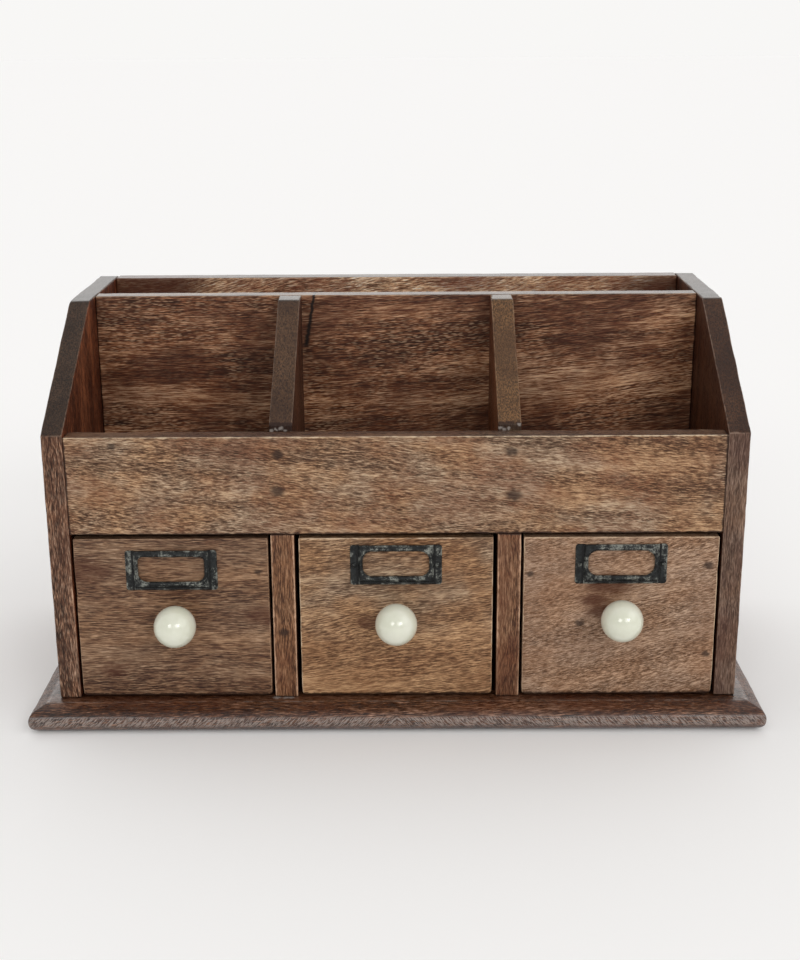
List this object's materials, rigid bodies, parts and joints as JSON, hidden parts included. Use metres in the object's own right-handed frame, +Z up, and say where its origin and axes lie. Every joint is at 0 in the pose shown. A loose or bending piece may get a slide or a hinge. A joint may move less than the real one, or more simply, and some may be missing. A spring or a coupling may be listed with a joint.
{
  "type": "wooden desk organizer",
  "caption": "Wooden desk organizer: a letter slot and open compartments above a row of small drawers with ball knobs and card frames, on a moulded base.",
  "frame": {"origin": "centre of the base board's flat underside", "axes": "+X to the right along the width, +Y towards the back panel, +Z up; the drawers open towards -Y"},
  "size_m": [0.384, 0.1993, 0.21],
  "materials": {
    "stained_wood": "dark brown stained hardwood, satin lacquer, worn edges",
    "stained_wood_light": "mid brown stained hardwood with dark pores, satin lacquer, worn edges",
    "stained_wood_dark": "very dark brown stained hardwood, satin lacquer",
    "drawer_box_wood": "thinly stained hardwood, matt",
    "drawer_bottom_wood": "plain plywood, matt",
    "knob_glaze": "cream glaze, glossy",
    "holder_metal": "aged black patina with traces of green",
    "brad_steel": "darkened steel",
    "screw_steel": "zinc plated"
  },
  "bodies": {
    "carcass": {"base_board": "stained_wood_dark", "side_panel_left": "stained_wood", "side_panel_right": "stained_wood", "back_panel": "stained_wood", "letter_divider": "stained_wood", "front_rail": "stained_wood_light", "drawer_deck": "stained_wood", "upper_divider_left": "stained_wood", "upper_divider_right": "stained_wood", "partition_left": "stained_wood", "partition_right": "stained_wood", "base_screws": "screw_steel", "rail_brads": "brad_steel", "side_brads_left": "brad_steel", "side_brads_right": "brad_steel", "back_brads": "brad_steel", "divider_brads": "brad_steel"},
    "left_drawer": {"left_drawer_front": "stained_wood_light", "left_drawer_side_left": "drawer_box_wood", "left_drawer_side_right": "drawer_box_wood", "left_drawer_back": "drawer_box_wood", "left_drawer_bottom": "drawer_bottom_wood", "left_drawer_front_brads": "brad_steel", "left_drawer_back_brads": "brad_steel", "left_drawer_label_holder": "holder_metal", "left_drawer_label_pins": "holder_metal", "left_drawer_knob": "knob_glaze", "left_drawer_knob_screw": "screw_steel"},
    "middle_drawer": {"middle_drawer_front": "stained_wood_light", "middle_drawer_side_left": "drawer_box_wood", "middle_drawer_side_right": "drawer_box_wood", "middle_drawer_back": "drawer_box_wood", "middle_drawer_bottom": "drawer_bottom_wood", "middle_drawer_front_brads": "brad_steel", "middle_drawer_back_brads": "brad_steel", "middle_drawer_label_holder": "holder_metal", "middle_drawer_label_pins": "holder_metal", "middle_drawer_knob": "knob_glaze", "middle_drawer_knob_screw": "screw_steel"},
    "right_drawer": {"right_drawer_front": "stained_wood_light", "right_drawer_side_left": "drawer_box_wood", "right_drawer_side_right": "drawer_box_wood", "right_drawer_back": "drawer_box_wood", "right_drawer_bottom": "drawer_bottom_wood", "right_drawer_front_brads": "brad_steel", "right_drawer_back_brads": "brad_steel", "right_drawer_label_holder": "holder_metal", "right_drawer_label_pins": "holder_metal", "right_drawer_knob": "knob_glaze", "right_drawer_knob_screw": "screw_steel"}
  },
  "joints": [
    {"name": "left_drawer_slide", "type": "slide", "parent": "carcass", "child": "left_drawer", "axis": [0, -1, 0], "range_m": [0, 0.125]},
    {"name": "middle_drawer_slide", "type": "slide", "parent": "carcass", "child": "middle_drawer", "axis": [0, -1, 0], "range_m": [0, 0.125]},
    {"name": "right_drawer_slide", "type": "slide", "parent": "carcass", "child": "right_drawer", "axis": [0, -1, 0], "range_m": [0, 0.125]}
  ]
}
